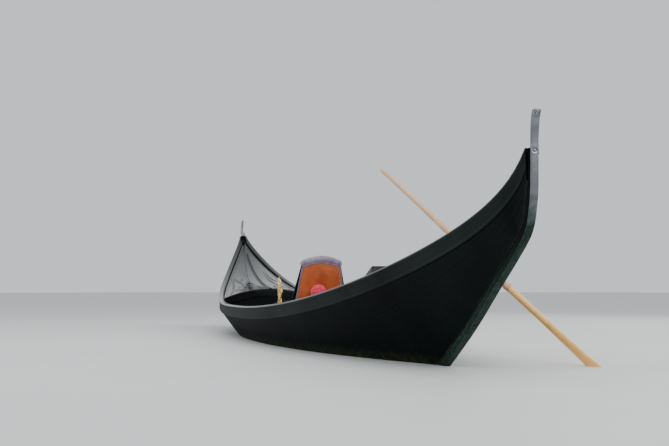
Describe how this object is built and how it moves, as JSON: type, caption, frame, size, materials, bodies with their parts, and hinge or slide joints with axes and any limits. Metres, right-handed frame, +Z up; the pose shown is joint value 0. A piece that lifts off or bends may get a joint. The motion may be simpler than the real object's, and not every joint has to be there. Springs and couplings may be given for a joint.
{
  "type": "gondola boat",
  "caption": "Long black lacquered rowing boat with raised ends, decked bow and stern, an open passenger well with an upholstered seat, and one oar in a carved oarlock.",
  "frame": {"origin": "on the waterline, at the widest section, on the straight line from sternpost to stem", "axes": "+X to the bow, +Y to port, +Z up"},
  "size_m": [11.003, 2.3673, 2.4452],
  "materials": {
    "black_lacquer": "high-gloss black lacquer on planed wood",
    "inside_paint": "satin black paint on wood",
    "polished_steel": "polished steel, slightly dulled by salt air",
    "polished_brass": "polished cast brass",
    "walnut": "oiled carved walnut",
    "oar_wood": "varnished pale wood, worn at the oarlock",
    "floor_wood": "dark stained boards with foot wear",
    "seat_leather": "orange-red upholstery leather",
    "crest_fabric": "silver-grey piped roll",
    "red_wool": "cut wool tassel",
    "carpet_cloth": "dark red pile carpet"
  },
  "bodies": {
    "hull": {"side_port_aft": "black_lacquer", "side_port_mid_aft": "black_lacquer", "side_port_mid_fore": "black_lacquer", "side_port_fore": "black_lacquer", "side_starboard_aft": "black_lacquer", "side_starboard_mid_aft": "black_lacquer", "side_starboard_mid_fore": "black_lacquer", "side_starboard_fore": "black_lacquer", "bottom_aft": "black_lacquer", "bottom_mid": "black_lacquer", "bottom_fore": "black_lacquer", "sternpost": "black_lacquer", "stem": "black_lacquer", "rail_port": "black_lacquer", "rail_starboard": "black_lacquer", "stern_deck": "black_lacquer", "bow_deck": "black_lacquer", "stern_deck_ridge": "black_lacquer", "bow_deck_ridge": "black_lacquer", "ribs": "inside_paint", "floorboards_aft": "floor_wood", "floorboards_main": "floor_wood", "stern_bulkhead": "inside_paint", "bow_bulkhead": "inside_paint", "stern_iron": "polished_steel", "bow_iron": "polished_steel", "stem_strap": "polished_steel", "forcola_block": "walnut", "forcola": "walnut", "seat_base": "black_lacquer", "seat_board": "black_lacquer", "seat_cushion": "seat_leather", "seat_back": "black_lacquer", "back_pad": "seat_leather", "back_panel": "seat_leather", "crest_roll": "crest_fabric", "pompom": "red_wool", "chair_port": "black_lacquer", "chair_port_cushion": "seat_leather", "chair_starboard": "black_lacquer", "chair_starboard_cushion": "seat_leather", "bow_bench": "black_lacquer", "bow_bench_cushion": "seat_leather", "carpet": "carpet_cloth", "sea_horse_port": "polished_brass", "sea_horse_starboard": "polished_brass", "foot_wedge": "floor_wood"},
    "oar": {"oar": "oar_wood"}
  },
  "joints": [
    {"name": "oar_sweep", "type": "hinge", "parent": "hull", "child": "oar", "pos_m": [-2.95, -0.427, 0.958], "axis": [0, 0, 1], "range_deg": [-22, 32]}
  ]
}
